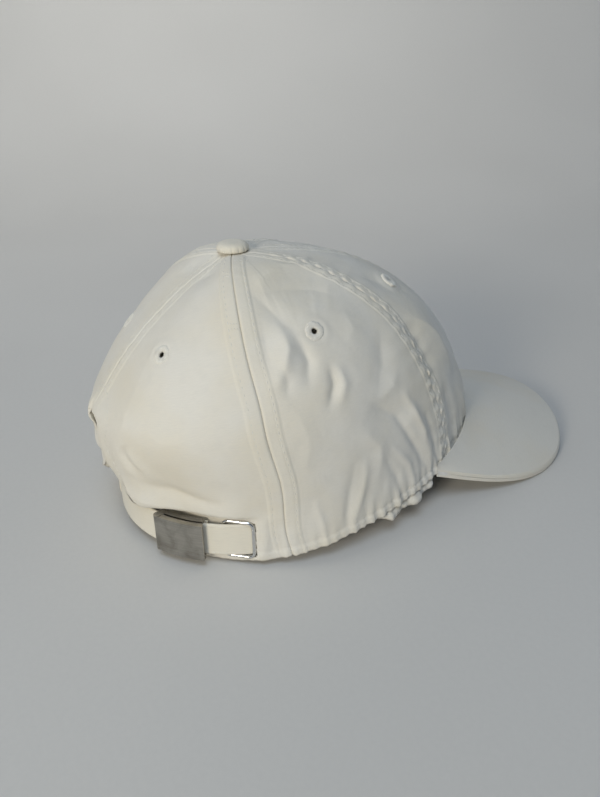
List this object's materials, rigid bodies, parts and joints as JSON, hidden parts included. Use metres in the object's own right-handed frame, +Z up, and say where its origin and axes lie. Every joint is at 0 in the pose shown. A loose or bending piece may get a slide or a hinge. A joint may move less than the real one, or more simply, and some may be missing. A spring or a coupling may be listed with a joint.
{
  "type": "baseball cap",
  "caption": "Soft panelled baseball cap with a curved brim, a covered button, stitched eyelets and a rear strap with a flip clasp and tuck ring.",
  "frame": {"origin": "centre of the footprint, on the surface that the cap rests on", "axes": "+Z up towards the button, -Y towards the tip of the brim, +Y towards the back strap, -X towards the wearer's right"},
  "size_m": [0.1478, 0.269, 0.1361],
  "materials": {
    "crown_cotton": "smooth off-white cotton twill, matt",
    "trim_cotton": "off-white cotton tape and binding, matt",
    "sweatband_cotton": "soft off-white cotton sweatband, matt",
    "eyelet_thread": "satin-stitched off-white thread",
    "board": "stiff white brim board",
    "steel": "brushed nickel-plated steel with light handling marks",
    "pin_steel": "plain steel pin",
    "chrome_wire": "polished chrome wire",
    "hidden_metal": "plain stamped metal, hidden"
  },
  "bodies": {
    "crown": {"front_panel_left": "crown_cotton", "front_panel_right": "crown_cotton", "side_panel_left": "crown_cotton", "side_panel_right": "crown_cotton", "back_panel_left": "crown_cotton", "back_panel_right": "crown_cotton", "seam_tape_front": "trim_cotton", "seam_tape_front_left": "trim_cotton", "seam_tape_front_right": "trim_cotton", "seam_tape_rear_left": "trim_cotton", "seam_tape_rear_right": "trim_cotton", "seam_tape_back": "trim_cotton", "eyelet_front_left": "eyelet_thread", "eyelet_front_right": "eyelet_thread", "eyelet_side_left": "eyelet_thread", "eyelet_side_right": "eyelet_thread", "eyelet_back_left": "eyelet_thread", "eyelet_back_right": "eyelet_thread", "sweatband": "sweatband_cotton", "sweatband_backing": "sweatband_cotton", "arch_binding": "trim_cotton", "brim_board": "board", "brim_top_cover": "crown_cotton", "brim_under_cover": "crown_cotton", "button_shell": "hidden_metal", "button_cover": "crown_cotton", "button_rivet": "hidden_metal", "strap_sleeve": "crown_cotton", "clasp_tab": "trim_cotton", "clasp_base": "steel", "clasp_pin": "pin_steel", "slot_ring": "chrome_wire"},
    "strap": {"strap": "crown_cotton"},
    "clasp_lever": {"clasp_lever": "steel"}
  },
  "joints": [
    {"name": "strap_slide", "type": "hinge", "parent": "crown", "child": "strap", "pos_m": [0, 0.06253, 0.0143], "axis": [0, 0, -1], "range_deg": [0, 16]},
    {"name": "clasp_lever_hinge", "type": "hinge", "parent": "crown", "child": "clasp_lever", "pos_m": [-0.03272, 0.12036, 0.0143], "axis": [0, 0, -1], "range_deg": [0, 110]}
  ]
}
